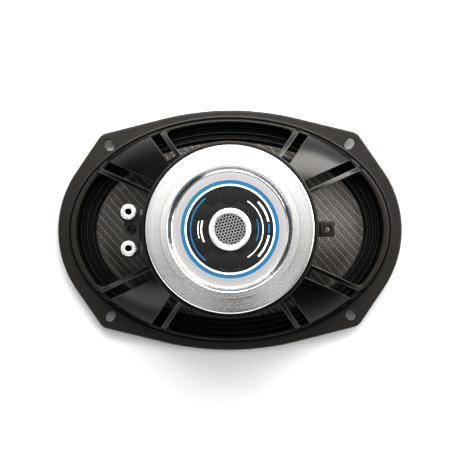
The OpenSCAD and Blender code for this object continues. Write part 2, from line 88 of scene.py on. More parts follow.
CLOTH_Z = gasket_hi.z + 0.3       # middle of the surround's cloth
CLOTH_T, ROLLS, ROLL_H, ROLL_W, ROLL_START = 0.6, 3, 1.5, 12.0, 0.5
RIM_INSET = ROLL_START + ROLL_W + 0.7
CONE_T, NECK_R, NECK_Z, CONE_RIM_W = 0.9, 25.75, 36.0, 3.5
BEND_R, BEND_Z = 38.0, 24.0
CONE_RIM_Z = FLANGE_Z + 0.1 + CONE_T
CAP_H, CAP_SHARE, CAP_T = 9.0, 0.2, 0.8
SPIDER_Z, SPIDER_WAVES = 39.2, 6

TERM_X, TERM_Y = 66.6, 12.0
SOCKET_Z, SOCKET_FLOOR = 40.0, 1.5
KNOB_R, KNOB_Z = 5.1, 49.4
LEAD_R = 0.6
LEAD_POINTS = [
    (-60.5, 11.6, 38.7), (-58.6, 11.3, 38.4), (-56.4, 11, 36.6), (-54.4, 10.6, 34), (-51.6, 10.1, 31.9),
    (-48.2, 9.5, 31.1), (-45, 8.8, 30.6), (-42.6, 8.2, 29.4), (-41, 7.8, 27.7),
]


# ---- Mesh building ----

SHARP = 35.0   # edges sharper than this many degrees are shaded as edges


def full_turn(n):
    """n directions all the way round, in radians."""
    return [math.tau * i / n for i in range(n)]


def polar(r, t, z):
    """The point at height z and radius r in direction t, in radians."""
    return r * math.cos(t), r * math.sin(t), z


def ease(u):
    """0 up to 0, 1 from 1 on, and a smooth rise between them."""
    u = min(max(u, 0), 1)
    return u * u * (3 - 2 * u)


def piece(name, points, faces, material, body=None, sharp=SHARP):
    """A mesh piece from points in millimetres, smooth apart from edges sharper than sharp degrees."""
    mesh = bpy.data.meshes.new(name)
    mesh.from_pydata([Vector(p) * MM for p in points], [], faces)
    bm = bmesh.new()
    bm.from_mesh(mesh)
    bmesh.ops.recalc_face_normals(bm, faces=bm.faces)
    bm.to_mesh(mesh)
    bm.free()
    mesh.shade_smooth()
    mesh.set_sharp_from_angle(angle=math.radians(sharp))
    mesh.materials.append(material)
    obj = bpy.data.objects.new(name, mesh)
    bpy.context.scene.collection.objects.link(obj)
    if body:
        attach(obj, body)
    return obj


def wrap(loops, closed):
    """Points and faces of a skin over equal loops. A closed skin joins its last loop to its first."""
    n, m = len(loops), len(loops[0])
    faces = []
    for i in range(n if closed else n - 1):
        a, b = i * m, ((i + 1) % n) * m
        faces += [(a + j, a + (j + 1) % m, b + (j + 1) % m, b + j) for j in range(m)]
    if not closed:
        faces += [tuple(range(m - 1, -1, -1)), tuple(range((n - 1) * m, n * m))]
    return [p for loop in loops for p in loop], faces


def rounded(corners):
    """A closed (r, z) outline with each corner (r, z, radius) rounded."""
    out = []
    n, steps = len(corners), 4
    for i, (r, z, radius) in enumerate(corners):
        p = Vector((r, z))
        before = (Vector(corners[i - 1][:2]) - p).normalized()
        after = (Vector(corners[(i + 1) % n][:2]) - p).normalized()
        half = math.acos(max(-1, min(1, before.dot(after)))) / 2
        cut = radius / math.tan(half)
        centre = p + (before + after).normalized() * radius / math.sin(half)
        a, b = p + before * cut - centre, p + after * cut - centre
        turn = a.angle_signed(b)
        for k in range(steps + 1):
            out.append(centre + Matrix.Rotation(-turn * k / steps, 2) @ a)
    return out


def lathe(name, outline, material, body, sides, sharp=SHARP):
    """A ring turned about Z from a closed (r, z) outline."""
    loops = [[polar(p[0], t, p[1]) for p in outline] for t in full_turn(sides)]
    return piece(name, *wrap(loops, True), material, body, sharp)


def tube(name, path, radius, material, sides):
    """A round tube along a list of points, closed at both ends."""
    points = [Vector(p) for p in path]
    loops = []
    for i, p in enumerate(points):
        d = (points[min(i + 1, len(points) - 1)] - points[max(i - 1, 0)]).normalized()
        e1 = d.cross(Vector((0, 1, 0.2))).normalized()
        e2 = e1.cross(d)
        loops.append([p + radius * (math.cos(t) * e1 + math.sin(t) * e2) for t in full_turn(sides)])
    return piece(name, *wrap(loops, False), material)


def smooth_path(points, steps):
    """A Catmull-Rom curve through points."""
    p = [Vector(q) for q in points]
    p = [2 * p[0] - p[1]] + p + [2 * p[-1] - p[-2]]
    out = []
    for i in range(1, len(p) - 2):
        for k in range(steps):
            t = k / steps
            a, b, c, d = p[i - 1:i + 3]
            out.append(0.5 * (2 * b + (c - a) * t + (2 * a - 5 * b + 4 * c - d) * t * t
                              + (3 * b - a - 3 * c + d) * t ** 3))
    return out + [p[-2]]


def block(name, x, y, z, material, radius, body=None):
    """A box with rounded edges, given by its (low, high) pairs in millimetres."""
    bm = bmesh.new()
    bmesh.ops.create_cube(bm, size=1)
    for v in bm.verts:
        v.co = Vector([(lo + hi) / 2 + (hi - lo) * c for (lo, hi), c in zip((x, y, z), v.co)])
    bmesh.ops.bevel(bm, geom=bm.edges[:], offset=radius, segments=3, affect="EDGES", profile=0.5)
    points = [v.co.copy() for v in bm.verts]
    faces = [tuple(v.index for v in f.verts) for f in bm.faces]
    bm.free()
    return piece(name, points, faces, material, body)


def cut(obj, cutters):
    """Cuts the cutters out of obj for good and removes them."""
    for cutter in cutters:
        modifier = obj.modifiers.new("cut", "BOOLEAN")
        modifier.operation = "DIFFERENCE"
        modifier.solver = "EXACT"
        modifier.object = cutter
    graph = bpy.context.evaluated_depsgraph_get()
    graph.update()
    mesh = bpy.data.meshes.new_from_object(obj.evaluated_get(graph))
    obj.modifiers.clear()
    obj.data = mesh
    mesh.set_sharp_from_angle(angle=math.radians(SHARP))
    for cutter in cutters:
        bpy.data.objects.remove(cutter)


# ---- Outlines ----

def arc(centre, radius, a0, a1, n):
    """Points of an arc about centre, from a0 to a1 degrees."""
    turns = [math.radians(a0 + (a1 - a0) * i / n) for i in range(n + 1)]
    return [Vector((centre[0] + radius * math.cos(t), centre[1] + radius * math.sin(t))) for t in turns]


def oval_r(a, b, t):
    """Radius of an oval of half axes a and b in direction t, in radians."""
    return a * b / math.hypot(b * math.cos(t), a * math.sin(t))


def meet(t1, d1, t2, d2):
    """Where two lines cross, each given by the direction it faces and its distance from the origin."""
    s = math.sin(t2 - t1)
    return Vector((d1 * math.sin(t2) - d2 * math.sin(t1), d2 * math.cos(t1) - d1 * math.cos(t2))) / s


def flange_quarter():
    """One quarter of the flange's outline: round end, ear corner, long curve."""
    end_r, side_r, ear_r, end_turn, side_turn = 71.5, 194.0, 8.0, 34.3, 76.0
    e, s = math.radians(end_turn), math.radians(side_turn)
    end_c = Vector((FLANGE_L / 2 - end_r, 0))
    side_c = Vector((0, FLANGE_W / 2 - side_r))
    facing_e, facing_s = Vector((math.cos(e), math.sin(e))), Vector((math.cos(s), math.sin(s)))
    ear_c = meet(e, end_c.dot(facing_e) + end_r - ear_r, s, side_c.dot(facing_s) + side_r - ear_r)
    return (arc(end_c, end_r, 0, end_turn, 60) + arc(ear_c, ear_r, end_turn, side_turn, 24)
            + arc(side_c, side_r, side_turn, 90, 30))


def flange_radius():
    """A function that gives the flange outline's radius in a direction."""
    quarter = [(math.atan2(p.y, p.x), p.length) for p in flange_quarter()]

    def radius(t):
        t = abs(math.atan2(math.sin(t), math.cos(t)))
        t = min(t, math.pi - t)
        for (t0, r0), (t1, r1) in zip(quarter, quarter[1:]):
            if t <= t1 and t1 > t0:
                # a straight line between the two points, in polar form
                x0, y0, x1, y1 = r0 * math.cos(t0), r0 * math.sin(t0), r1 * math.cos(t1), r1 * math.sin(t1)
                return (x0 * y1 - x1 * y0) / (math.cos(t) * (y1 - y0) - math.sin(t) * (x1 - x0))
        return quarter[-1][1]

    return radius


def offset_turn(degrees, off, r):
    """Direction, in radians, of the point at radius r on a line along a direction but off to its left."""
    return math.radians(degrees) + math.asin(off / r)


def all_ribs():
    """Directions of the eight ribs in degrees, each with the side its window is on: 1 left, -1 right."""
    out = []
    for rib, side in ((END_RIB, -1), (SIDE_RIB, 1)):
        out += [(rib, side), (180 - rib, -side), (180 + rib, side), (360 - rib, -side)]
    return out


def corner_fill(t, r):
    """How far the wall's inner edge bulges into the opening beside a rib, which rounds the corners."""
    fill = 0.0
    for rib, side in all_ribs():
        across = r * math.sin(t - math.radians(rib))
        if r * math.cos(t - math.radians(rib)) < 0:
            continue
        for way, radius in ((side, 4.5), (-side, 1.3)):
            gap = across * way - RIB_W / 2
            if -RIB_W / 2 <= gap < radius:
                gap = max(gap, 0)
                fill = max(fill, radius - math.sqrt(radius ** 2 - (radius - gap) ** 2))
    return fill


# ---- Basket ----

def flange_and_wall(material):
    """The flange and the oval wall behind it, as one ring."""
    steps = 960
    turns = full_turn(steps)
    outer = flange_radius()
    curves = {
        "outline": [outer(t) for t in turns],
        "rim": [oval_r(RIM_A, RIM_B, t) for t in turns],
        "wall": [oval_r(WALL_A, WALL_B, t) for t in turns],
        "open": [oval_r(OPEN_A, OPEN_B, t) - corner_fill(t, oval_r(OPEN_A, OPEN_B, t)) for t in turns],
    }
    groove = REAR_Z - 0.9
    section = [
        ("outline", 0.6, FLANGE_Z), ("outline", 0.17, FLANGE_Z + 0.17), ("outline", 0, FLANGE_Z + 0.6),
        ("outline", 0, REAR_Z - 1.1), ("outline", 0.15, REAR_Z - 0.55), ("outline", 0.5, REAR_Z - 0.15),
        ("outline", 1.0, REAR_Z), ("outline", 1.4, REAR_Z),
        ("rim", -2.0, REAR_Z), ("rim", -1.6, REAR_Z + 0.02), ("rim", -1.2, REAR_Z + 0.14),
        ("rim", -0.8, REAR_Z + 0.2), ("rim", -0.4, REAR_Z + 0.12), ("rim", -0.12, REAR_Z - 0.12),
        ("rim", 0, REAR_Z - 0.45),
        ("rim", 0.1, groove), ("wall", 0, groove),
        ("wall", 0, WALL_Z - 0.8), ("wall", 0.1, WALL_Z - 0.4), ("wall", 0.4, WALL_Z - 0.1),
        ("wall", 0.8, WALL_Z),
        ("open", -0.5, WALL_Z), ("open", -0.15, WALL_Z - 0.15), ("open", 0, WALL_Z - 0.5),
        ("open", 0, FLANGE_Z + 0.5), ("open", -0.5, FLANGE_Z),
    ]
    loops = []
    for curve, inset, z in section:
        r = curves[curve]
        points = [Vector(polar(r[i], t, z)) for i, t in enumerate(turns)]
        if inset:
            inward = []
            for i in range(steps):
                along = points[(i + 1) % steps] - points[i - 1]
                inward.append(Vector((-along.y, along.x, 0)).normalized())
            points = [p + inset * n for p, n in zip(points, inward)]
        loops.append(points)
    ring = piece("basket_flange", *wrap(loops, True), material)
    cut(ring, [screw_slot(mx, my) for mx in (1, -1) for my in (1, -1)])
    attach(ring, "frame")
    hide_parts("basket")


def screw_slot(mx, my):
    """A cutter for one screw slot, wider at both ends so that the slot's edges are broken."""
    x, y, width, extra, turn, lip, past = 82.5, 58.75, 6.2, 2.0, 50, 0.35, 1.0
    middle = Vector((x, y))
    along = Vector((math.cos(math.radians(turn)), math.sin(math.radians(turn))))
    flare = past + lip
    loops = []
    for z, grow in ((FLANGE_Z - past, flare), (FLANGE_Z + lip, 0), (REAR_Z - lip, 0), (REAR_Z + past, flare)):
        loop = (arc(middle + along * extra / 2, width / 2 + grow, turn - 90, turn + 90, 20)
                + arc(middle - along * extra / 2, width / 2 + grow, turn + 90, turn + 270, 20))
        loops.append([(mx * p.x, my * p.y, z) for p in loop])
    return piece("slot_cutter", *wrap(loops, False), None)


def arm_point(t0, t1, depth, top, bottom, u):
    """A point u of the way from wall to hub, depth 0 on the arm's outer face and 1 on its inner one."""
    outer_foot, inner_foot = oval_r(WALL_A, WALL_B, t0) + 0.04, oval_r(OPEN_A, OPEN_B, t0) + 0.3
    ends = []
    for r0, drop in ((outer_foot, top), (inner_foot, bottom)):
        foot = r0 * Vector((math.cos(t0), math.sin(t0)))
        head = (HUB_R - HEAD_SUNK) * Vector((math.cos(t1), math.sin(t1)))
        knee = foot + KNEE_SHARE * (head - foot)
        a = Vector((foot.x, foot.y, WALL_Z - FOOT_DROP))
        b = Vector((knee.x, knee.y, REAR_Z + KNEE_H - drop * KNEE_DROP))
        c = Vector((head.x, head.y, HUB_Z - HEAD_DROP - drop))
        ends.append((1 - u) ** 2 * a + 2 * u * (1 - u) * b + u * u * c)
    return ends[0].lerp(ends[1], depth)


def arm_strip(name, line_a, line_b, top, bottom, cells, materials, mx, my):
    """A curved bar or panel between two lines, each (direction in degrees, distance off to its left).

    materials are that of its faces and that of its rounded outer edges, which is a lighter copy of the coat
    that paints a highlight along them."""
    steps, flat_inset = 40, 0.9

    def turns(line, inset):
        """The directions of a line's two ends, at the wall and at the hub, with the line moved by inset."""
        degrees, off = line
        off += inset
        return (offset_turn(degrees, off, oval_r(WALL_A, WALL_B, math.radians(degrees))),
                offset_turn(degrees, off, HUB_R))

    t = bottom - top
    edge = [(0, 0.7 / t), (0.08, 0.38 / t), (0.27, 0.13 / t), (0.6, 0.0)]
    under = [(0.4, 1.0), (0.12, 1 - 0.12 / t), (0, 1 - 0.4 / t)]
    a, b = turns(line_a, flat_inset), turns(line_b, -flat_inset)
    flat = []
    for k in range(cells + 1):
        f = k / cells
        flat.append((a[0] + (b[0] - a[0]) * f, a[1] + (b[1] - a[1]) * f))
    section = [turns(line_a, inset) + (depth,) for inset, depth in edge]
    section += [ends + (0.0,) for ends in flat]
    section += [turns(line_b, -inset) + (depth,) for inset, depth in reversed(edge)]
    section += [turns(line_b, -inset) + (depth,) for inset, depth in reversed(under)]
    section += [ends + (1.0,) for ends in reversed(flat)]
    section += [turns(line_a, inset) + (depth,) for inset, depth in under]
    loops = []
    for i in range(steps + 1):
        u = i / steps
        loop = [arm_point(t0, t1, depth, top, bottom, u) for t0, t1, depth in section]
        loops.append([(mx * p.x, my * p.y, p.z) for p in loop])
    strip = piece(name, *wrap(loops, False), materials[0], "frame", 50)
    strip.data.materials.append(materials[1])
    m, top_end = len(section), len(edge) + cells
    for face in strip.data.polygons:
        j = face.index % m
        if face.index < steps * m and (j < len(edge) - 1 or top_end < j <= top_end + len(edge) - 1):
            face.material_index = 1
    return strip


def arms(face_coat, highlight_coat):
    """Four corner arms, each two ribs with a panel between them, and the small webs at their hub ends."""
    coats = (face_coat, highlight_coat)
    edge = RIB_W / 2 + SLOT_W
    for i, (mx, my) in enumerate(((1, 1), (-1, 1), (-1, -1), (1, -1)), 1):
        for name, rib in (("end", END_RIB), ("side", SIDE_RIB)):
            arm_strip(f"basket_rib_{name}_{i}", (rib, -RIB_W / 2), (rib, RIB_W / 2), -RIB_RISE, RIB_DEPTH,
                      2, coats, mx, my)
        arm_strip(f"basket_panel_{i}", (END_RIB, edge), (SIDE_RIB, -edge), 0, PANEL_T, 24, coats, mx, my)
        for name, rib, lo in (("end", END_RIB, RIB_W / 2), ("side", SIDE_RIB, -edge)):
            web = block(f"basket_web_{name}_{i}", (HUB_R - 1, HUB_R + WEB_L), (lo - 0.5, lo + SLOT_W + 0.5),
                        (WEB_Z, WEB_Z + WEB_T), face_coat, 0.35)
            web.data.transform(Matrix.Diagonal((mx, my, 1, 1)) @ Matrix.Rotation(math.radians(rib), 4, "Z"))
            if mx * my < 0:
                web.data.flip_normals()
            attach(web, "frame")


def hub(material):
    """The round hub that carries the motor."""
    top, bore_r, plate_z = HUB_Z + 1.5, 36.0, HUB_Z - 4
    lathe("basket_hub", rounded([
        (SKIRT_R, SKIRT_Z, 0.3), (HUB_R, SKIRT_Z, 0.8), (HUB_R, top, 0.7), (HUB_R - 1.9, top, 0.5),
        (HUB_R - 2.1, HUB_Z, 0.2), (bore_r, HUB_Z, 0.3), (bore_r, plate_z, 0.3), (SKIRT_R, plate_z, 0.6),
    ]), material, "frame", 240)


def tabs(material):
    """The tab that carries the terminals, and its blank twin with a raised bar and a countersunk hole."""
    hole_r, sink_r = 1.52, 2.4
    hole = ((hole_r, -1), (hole_r, TAB_T - 0.9), (sink_r, TAB_T - 0.05), (sink_r, TAB_T + 1))
    for name, side in (("terminal", -1), ("blank", 1)):
        ends = sorted((side * (HUB_R - 2), side * TAB_REACH))
        width, height = (-TAB_W / 2, TAB_W / 2), (TAB_Z, TAB_Z + TAB_T)
        tab = block(f"basket_tab_{name}", ends, width, height, material, 0.45)
        loops = []
        for r, z in hole:
            circle = [polar(r, t, TAB_Z + z) for t in full_turn(40)]
            loops.append([(side * TAB_HOLE_X + p[0], p[1], p[2]) for p in circle])
        cut(tab, [piece("hole_cutter", *wrap(loops, False), None)])
        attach(tab, "frame")
    block("basket_tab_bar", (HUB_R + 1.3, HUB_R + 2.3), (-TAB_W / 2 + 0.2, TAB_W / 2 - 0.2),
          (TAB_Z + TAB_T - 1, TAB_Z + TAB_T + 1), material, 0.3, "frame")


# ---- Gasket, surround, cone, spider ----

def oval_loops(section):
    """The loops of a ring, from its closed section of (half axes of an oval, inset from it, z) points."""
    loops = []
    for t in full_turn(256):
        loops.append([polar(oval_r(a - inset, b - inset, t), t, z) for (a, b), inset, z in section])
    return loops


def gasket(material):
    """Foam ring on the front, which the speaker lies on."""
    z0, z1 = gasket_lo.z, gasket_hi.z
    outer = (gasket_hi.x, gasket_hi.y)
    inner = (OPEN_A + 0.6, OPEN_B + 0.6)
    section = [
        (outer, 0.0, z0 + 0.5), (outer, 0.15, z0 + 0.15), (outer, 0.5, z0),
        (inner, -0.5, z0), (inner, -0.15, z0 + 0.15), (inner, 0.0, z0 + 0.5),
        (inner, 0.0, z1), (outer, 0.0, z1),
    ]
    ring = piece("gasket_foam", *wrap(oval_loops(section), True), material, "frame")
    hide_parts("gasket")


def flex(obj, weight):
    """Bakes obj's transform and works out weight(point) at each of its points, from 0 on the frame to 1 on
    the cone; nothing uses the weights."""
    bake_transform(obj)
    share = [weight(v.co / MM) for v in obj.data.vertices]


def surround(material):
    """Pleated cloth between the flange and the cone's rim."""
    across = 16 * ROLLS
    line = [(-5.8, CLOTH_Z), (-0.4, CLOTH_Z)]
    for k in range(across + 1):
        u = k / across
        line.append((ROLL_START + ROLL_W * u, CLOTH_Z + ROLL_H * (1 - math.cos(math.tau * ROLLS * u))))
    line += [(RIM_INSET + 0.4, CLOTH_Z), (RIM_INSET + 3.2, CLOTH_Z)]
    half = CLOTH_T / 2 - 0.03
    outline = [(i, z - half) for i, z in reversed(line)] + [(i, z + half) for i, z in line]
    section = [((OPEN_A, OPEN_B), inset, z) for inset, z in outline]
    obj = piece("surround_cloth", *wrap(oval_loops(section), True), material, None, 60)

    def weight(p):
        return ease((oval_inset(p.xy.length, math.atan2(p.y, p.x)) - ROLL_START) / ROLL_W)

    flex(obj, weight)
    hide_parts("surround")


def oval_inset(r, t):
    """How far inside the opening's edge the oval through radius r in direction t lies."""
    lo, hi = -10.0, 60.0
    for _ in range(24):
        mid = (lo + hi) / 2
        if oval_r(OPEN_A - mid, OPEN_B - mid, t) > r:
            lo = mid
        else:
            hi = mid
    return (lo + hi) / 2


def cone_point(t, u):
    """(radius, height) on the cone's rear face, u of the way from neck to rim, in direction t."""
    rim = oval_r(OPEN_A - RIM_INSET, OPEN_B - RIM_INSET, t) - CONE_RIM_W
    a, b, c = Vector((NECK_R, NECK_Z)), Vector((BEND_R, BEND_Z)), Vector((rim, CONE_RIM_Z))
    return (1 - u) ** 2 * a + 2 * u * (1 - u) * b + u * u * c


def cone(material):
    """Woven cone with a flat rim and a round neck."""
    steps, around = 24, 256
    loops = []
    for t in full_turn(around):
        rear = [cone_point(t, k / steps) for k in range(steps + 1)]
        rim = rear[-1]
        for x, z in ((0.5, -0.02), (CONE_RIM_W - 0.4, 0), (CONE_RIM_W - 0.1, -0.1)):
            rear.append(rim + Vector((x, z)))
        front = [p - Vector((0, CONE_T)) for p in rear]
        front[-1] += Vector((0, 0.2))
        outline = front + list(reversed(rear))
        loops.append([polar(p.x, t, p.y) for p in outline])
    obj = piece("cone_shell", *wrap(loops, True), material, "diaphragm", 40)
    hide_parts("cone")


def dust_cap(material):
    """Oval dome glued to the front of the cone."""
    edge_x, edge_y = cone_point(0, CAP_SHARE), cone_point(math.pi / 2, CAP_SHARE)
    steps, around, gap = 20, 128, 0.6
    base = edge_y.y - CONE_T - 0.05
    loops = []
    for sunk, order in ((CAP_T, range(1, steps + 1)), (0, range(steps, 0, -1))):
        for k in order:
            u = math.pi / 2 * k / steps
            z = base - (CAP_H - sunk) * math.cos(u) + sunk * 0.3
            loop = []
            for t in full_turn(around):
                loop.append(polar(oval_r(edge_x.x - gap, edge_y.x - gap, t) * math.sin(u), t, z))
            loops.append(loop)
    obj = piece("dust_cap_dome", *wrap(loops, False), material, "diaphragm", 40)
    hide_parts("dust_cap")


def spider(material):
    """Corrugated cloth disc that centres the voice coil."""
    r0, r1, cloth, wave_h = NECK_R + 1.6, SKIRT_R - 0.5, 0.25, 1.3
    inner = NECK_R + 0.1
    steps = 12 * SPIDER_WAVES
    line = []
    for k in range(steps + 1):
        u = k / steps
        line.append((r0 + (r1 - r0) * u, SPIDER_Z - wave_h * math.sin(math.tau * SPIDER_WAVES * u)))
    outline = [(inner, SPIDER_Z - 1.4), (inner + 0.5, SPIDER_Z - 1.4), (inner + 0.7, SPIDER_Z - cloth)]
    outline += [(r, z - cloth) for r, z in line]
    outline += [(HUB_R - 1.2, SKIRT_Z - 0.52), (HUB_R - 1.2, SKIRT_Z - 0.03), (SKIRT_R + 0.1, SKIRT_Z - 0.03)]
    outline += [(r, z + cloth) for r, z in reversed(line)]
    outline += [(inner + 0.5, SPIDER_Z + 1.6), (inner, SPIDER_Z + 1.6)]
    obj = lathe("spider_cloth", outline, material, None, 160, 60)

    def weight(p):
        return ease((r1 - p.xy.length) / (r1 - r0))

    flex(obj, weight)
    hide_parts("spider")


def tinsel_lead(name, side, material):
    """Braided lead from a solder tag to the cone."""
    path = smooth_path([(x, side * y, z) for x, y, z in LEAD_POINTS], 8)
    obj = tube(f"tinsel_braid_{name}", path, LEAD_R, material, 12)
    first, last = LEAD_POINTS[1][0], LEAD_POINTS[-1][0]

    def weight(p):
        return ease((p.x - first) / (last - first))

    flex(obj, weight)
    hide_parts(f"tinsel_lead_{name}")


# ---- Terminals ----

def knob(name, side, material):
    """Plated push knob with a rounded edge and a cross hole for bare wire."""
    top, bore_r, plug_r, hole_z, wire_r = 60.0, 3.0, 2.1, 56.2, 1.1
    foot_r, foot_top, lid_z = KNOB_R + 0.4, KNOB_Z + 1.5, top - 1.5
    obj = lathe(f"knob_shell_{name}", rounded([
        (bore_r, KNOB_Z, 0.15), (foot_r, KNOB_Z, 0.2), (foot_r, foot_top, 0.25), (KNOB_R, foot_top, 0.1),
        (KNOB_R, top, 0.8), (plug_r, top, 0.35), (plug_r, lid_z, 0.1), (bore_r, lid_z, 0.1),
    ]), material, None, 96)
    loops = []
    for x in (-8, 8):
        loops.append([(x, wire_r * math.cos(t), hole_z + wire_r * math.sin(t)) for t in full_turn(32)])
    cut(obj, [piece("hole_cutter", *wrap(loops, False), None)])
    obj.data.transform(Matrix.Translation(Vector((-TERM_X, side * TERM_Y, 0)) * MM))
    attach(obj, f"knob_{name}")
    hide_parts(f"terminal_knob_{name}")


def spring(name, side, material):
    """Coil spring under a terminal's knob."""
    turns, radius, wire = 5, 4.35, 0.3
    low, high = SOCKET_Z + SOCKET_FLOOR + wire + 0.05, KNOB_Z - wire - 0.05
    steps = 32 * turns
    path = []
    for i in range(steps + 1):
        t = math.tau * turns * i / steps
        z = low + (high - low) * i / steps
        path.append((radius * math.cos(t) - TERM_X, radius * math.sin(t) + side * TERM_Y, z))
    obj = tube(f"knob_spring_{name}", path, wire, material, 10)
    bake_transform(obj)
    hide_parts(f"terminal_spring_{name}")


# ---- Label ----

def label_ring(name, r0, r1, start, end, material):
    """A flat printed ring or arc on the label, from start to end degrees."""
    steps = max(8, int((end - start) / 2))
    full = end - start >= 360
    z0, z1 = label_hi.z - 0.01, label_hi.z + 0.04
    section = ((r0, z0), (r1, z0), (r1, z1), (r0, z1))
    loops = []
    for i in range(steps if full else steps + 1):
        t = math.radians(start + (end - start) * i / steps)
        loops.append([polar(r, t, z) for r, z in section])
    return piece(name, *wrap(loops, full), material, "frame")


# ---- Materials ----

WARM_TINT = (1.0, 0.95, 0.89, 1.0)


class Paint:
    """A node material with one Principled shader, and short calls to add to it."""

    def __init__(self, name, color, roughness, metallic=0.0):
        self.mat = bpy.data.materials.new(name)
        self.mat.use_nodes = True
        self.tree = self.mat.node_tree
        self.bsdf = self.tree.nodes["Principled BSDF"]
        self.set("Base Color", (*color, 1))
        self.set("Roughness", roughness)
        self.set("Metallic", metallic)
        self.coords = self.node("ShaderNodeTexCoord").outputs["Object"]

    def set(self, socket, value):
        self.bsdf.inputs[socket].default_value = value

    def node(self, kind, **settings):
        made = self.tree.nodes.new(kind)
        for key, value in settings.items():
            setattr(made, key, value)
        return made

    def link(self, a, b):
        self.tree.links.new(a, b)

    def math(self, operation, a, b=None, clamp=False):
        """A Math node's output, from sockets or numbers."""
        made = self.node("ShaderNodeMath", operation=operation, use_clamp=clamp)
        for i, value in enumerate((a, b)):
            if value is None:
                continue
            if isinstance(value, (int, float)):
                made.inputs[i].default_value = value
            else:
                self.link(value, made.inputs[i])
        return made.outputs[0]

    def xyz(self):
        """The object coordinates' X, Y and Z, in millimetres."""
        scaled = self.node("ShaderNodeVectorMath", operation="SCALE")
        self.link(self.coords, scaled.inputs[0])
        scaled.inputs["Scale"].default_value = 1 / MM
        parts = self.node("ShaderNodeSeparateXYZ")
        self.link(scaled.outputs[0], parts.inputs[0])
        return parts.outputs

    def around(self):
        """The distance from the motor's axis, and the height, in millimetres."""
        x, y, z = self.xyz()
        square = self.math("ADD", self.math("MULTIPLY", x, x), self.math("MULTIPLY", y, y))
        return self.math("SQRT", square), z

    def noise(self, size_mm, detail=2.0, vector=None):
        """A noise of about size_mm grain, from 0 to 1."""
        made = self.node("ShaderNodeTexNoise")
        made.inputs["Scale"].default_value = 1 / (size_mm * MM)
        made.inputs["Detail"].default_value = detail
        self.link(vector or self.coords, made.inputs["Vector"])
        return made.outputs["Fac"]

    def ramp(self, fac, low, high, f0=0.0, f1=1.0):
        """A value or colour that goes from low to high as fac goes from f0 to f1."""
        if isinstance(low, tuple):
            return self.blend(self.ramp(fac, 0.0, 1.0, f0, f1), low, high)
        made = self.node("ShaderNodeMapRange")
        self.link(fac, made.inputs["Value"])
        for key, value in (("From Min", f0), ("From Max", f1), ("To Min", low), ("To Max", high)):
            made.inputs[key].default_value = value
        return made.outputs["Result"]

    def blend(self, fac, a, b):
        """Colour a where fac is 0 and b where it is 1, either as a socket or a colour."""
        made = self.node("ShaderNodeMix", data_type="RGBA")
        self.link(fac, made.inputs["Factor"])
        for value, i in ((a, 6), (b, 7)):
            if isinstance(value, tuple):
                made.inputs[i].default_value = (*value, 1)
            else:
                self.link(value, made.inputs[i])
        return made.outputs[2]

    def bump(self, height, depth_mm):
        """Adds a bump of depth_mm from a height of 0 to 1."""
        made = self.node("ShaderNodeBump")
        made.inputs["Strength"].default_value = 1.0
        made.inputs["Distance"].default_value = depth_mm * MM
        self.link(height, made.inputs["Height"])
        normal = self.bsdf.inputs["Normal"]
        if normal.is_linked:
            self.link(normal.links[0].from_socket, made.inputs["Normal"])
        self.link(made.outputs[0], normal)

    def to(self, socket, value):
        self.link(value, self.bsdf.inputs[socket])


def coated_metal(name, color, roughness, grain, specular):
    """Powder-coated casting: fine orange peel, with slightly uneven gloss and colour."""
    p = Paint(name, color, roughness)
    lighter = tuple(c * 1.35 for c in color)
    p.to("Base Color", p.ramp(p.noise(9, 3), color, lighter, 0.3, 0.8))
    p.to("Roughness", p.ramp(p.noise(1.2, 3), roughness - 0.02, roughness + 0.03, 0.3, 0.7))
    p.bump(p.noise(0.55, 2), grain)
    p.set("Specular IOR Level", specular)
    p.set("Specular Tint", WARM_TINT)
    return p.mat


def foam(name):
    """Closed-cell foam with small open pores."""
    p = Paint(name, (0.018, 0.018, 0.019), 0.85)
    cells = p.node("ShaderNodeTexVoronoi")
    cells.inputs["Scale"].default_value = 1 / (0.7 * MM)
    p.link(p.coords, cells.inputs["Vector"])
    depth = cells.outputs["Distance"]
    p.to("Base Color", p.ramp(depth, (0.03, 0.03, 0.031), (0.012, 0.012, 0.012), 0.1, 0.7))
    p.bump(depth, 0.15)
    return p.mat


def coated_cloth(name, color, thread_mm, roughness):
    """Woven cloth under a thin coat: a grid of threads."""
    p = Paint(name, color, roughness)
    unrolled_r = 60.0
    x, y, _ = p.xyz()
    r, _ = p.around()
    turn = p.math("MULTIPLY", p.math("ARCTAN2", y, x), unrolled_r)
    threads = math.pi / thread_mm
    a = p.math("ABSOLUTE", p.math("SINE", p.math("MULTIPLY", r, threads)))
    b = p.math("ABSOLUTE", p.math("SINE", p.math("MULTIPLY", turn, threads)))
    weave = p.math("MULTIPLY", a, b)
    p.to("Base Color", p.ramp(p.noise(6, 3), color, tuple(c * 1.5 for c in color), 0.3, 0.7))
    p.bump(weave, 0.06)
    p.bump(p.noise(0.4, 2), 0.03)
    return p.mat


def rubber(name, color, roughness):
    """Smooth rubber-coated cloth with a faint fabric grain."""
    p = Paint(name, color, roughness)
    p.to("Base Color", p.ramp(p.noise(4, 3), color, tuple(c * 1.4 for c in color), 0.3, 0.7))
    p.to("Roughness", p.ramp(p.noise(1.5, 3), roughness - 0.04, roughness + 0.06, 0.3, 0.7))
    p.bump(p.noise(0.5, 2), 0.01)
    return p.mat


